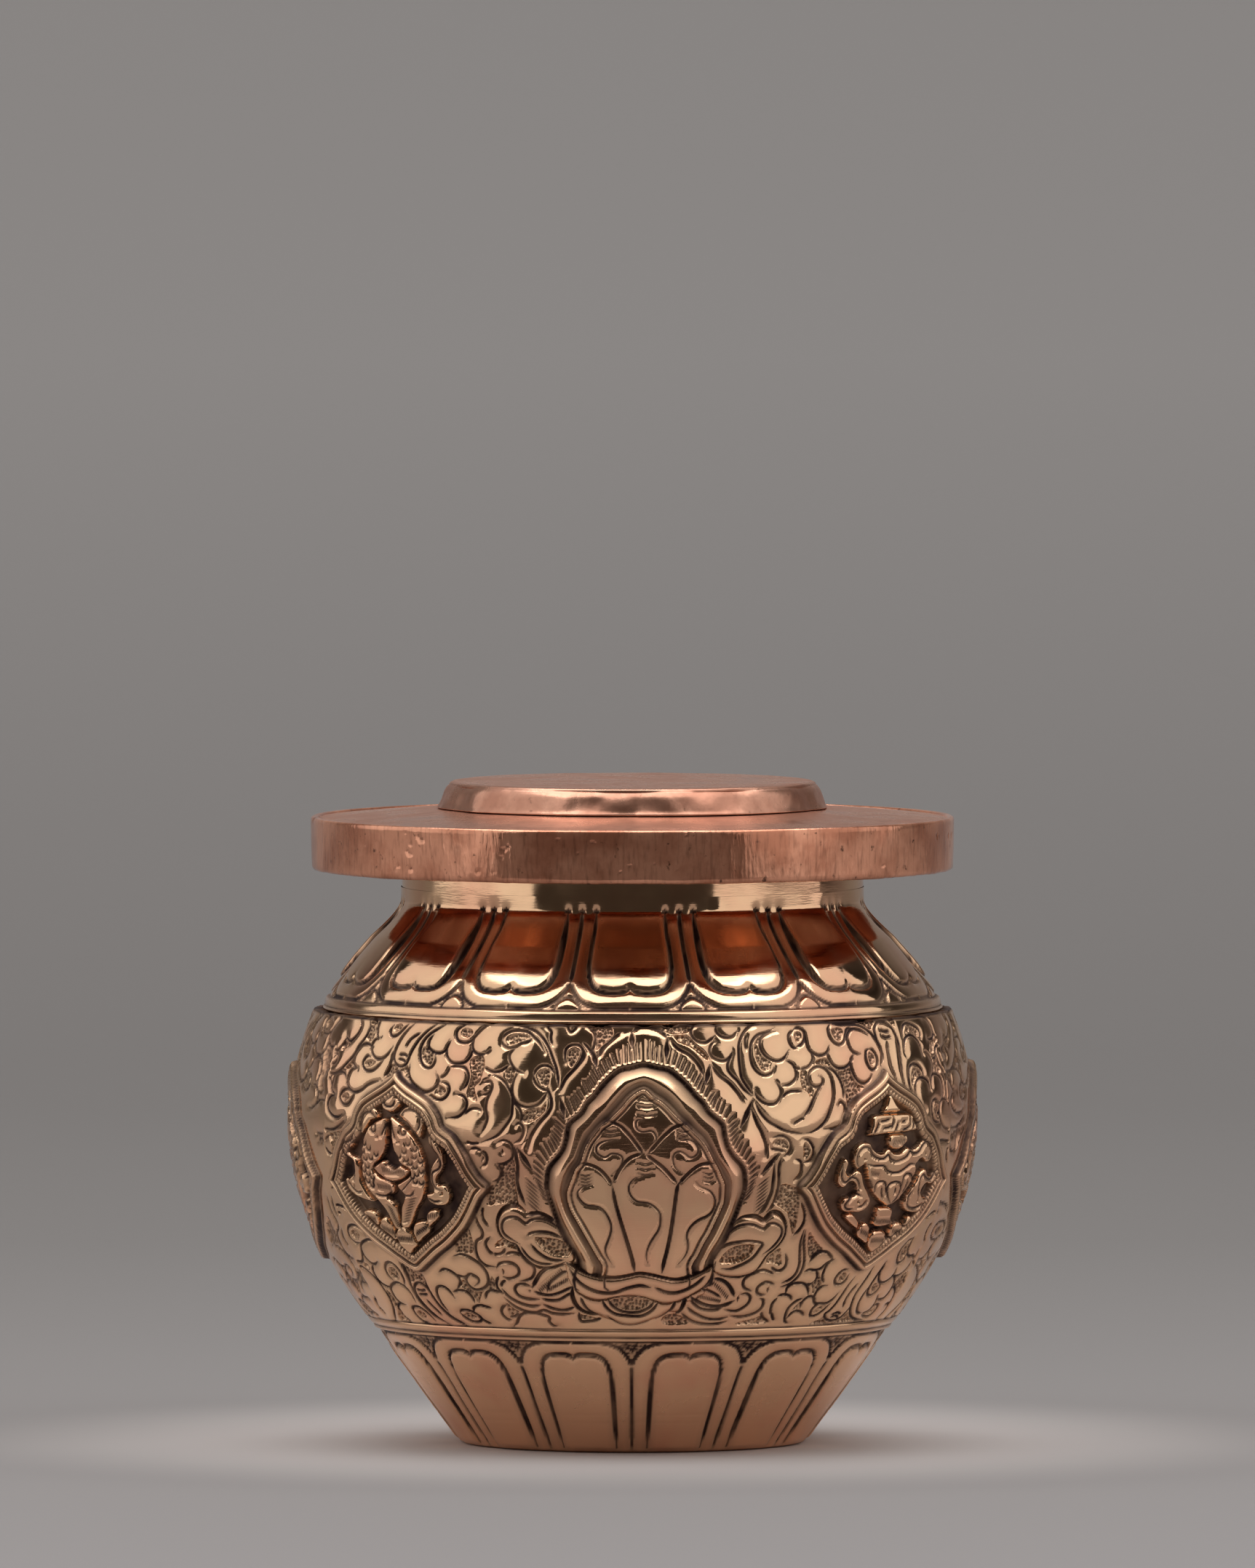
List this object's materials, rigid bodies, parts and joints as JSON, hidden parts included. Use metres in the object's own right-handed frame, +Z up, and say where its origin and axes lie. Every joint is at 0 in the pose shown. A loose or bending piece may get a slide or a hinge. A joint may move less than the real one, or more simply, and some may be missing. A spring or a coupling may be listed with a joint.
{
  "type": "lidded ritual vase",
  "caption": "Round-bellied lidded ritual vase of chased sheet copper with a lotus foot, petalled shoulder, plain neck and a flat lift-off lid.",
  "frame": {"origin": "centre of the underside, on the surface the vase stands on", "axes": "+Z up along the vase's axis, -Y towards the front with the flaming jewel, +X to the right seen from the front"},
  "size_m": [0.1046, 0.1044, 0.1],
  "materials": {
    "gilded_copper": "polished and chased, dark patina in the lines",
    "red_copper": "polished on top, filed and pitted on the rim"
  },
  "bodies": {
    "vase": {"foot_bowl": "gilded_copper", "belly_shell": "gilded_copper", "shoulder_shell": "gilded_copper"},
    "lid": {"lid_plate": "red_copper", "lid_boss": "red_copper", "lid_rim_band": "red_copper", "lid_collar": "red_copper"}
  },
  "joints": [
    {"name": "lid_lift", "type": "slide", "parent": "vase", "child": "lid", "axis": [0, 0, 1], "range_m": [0, 0.05]}
  ]
}
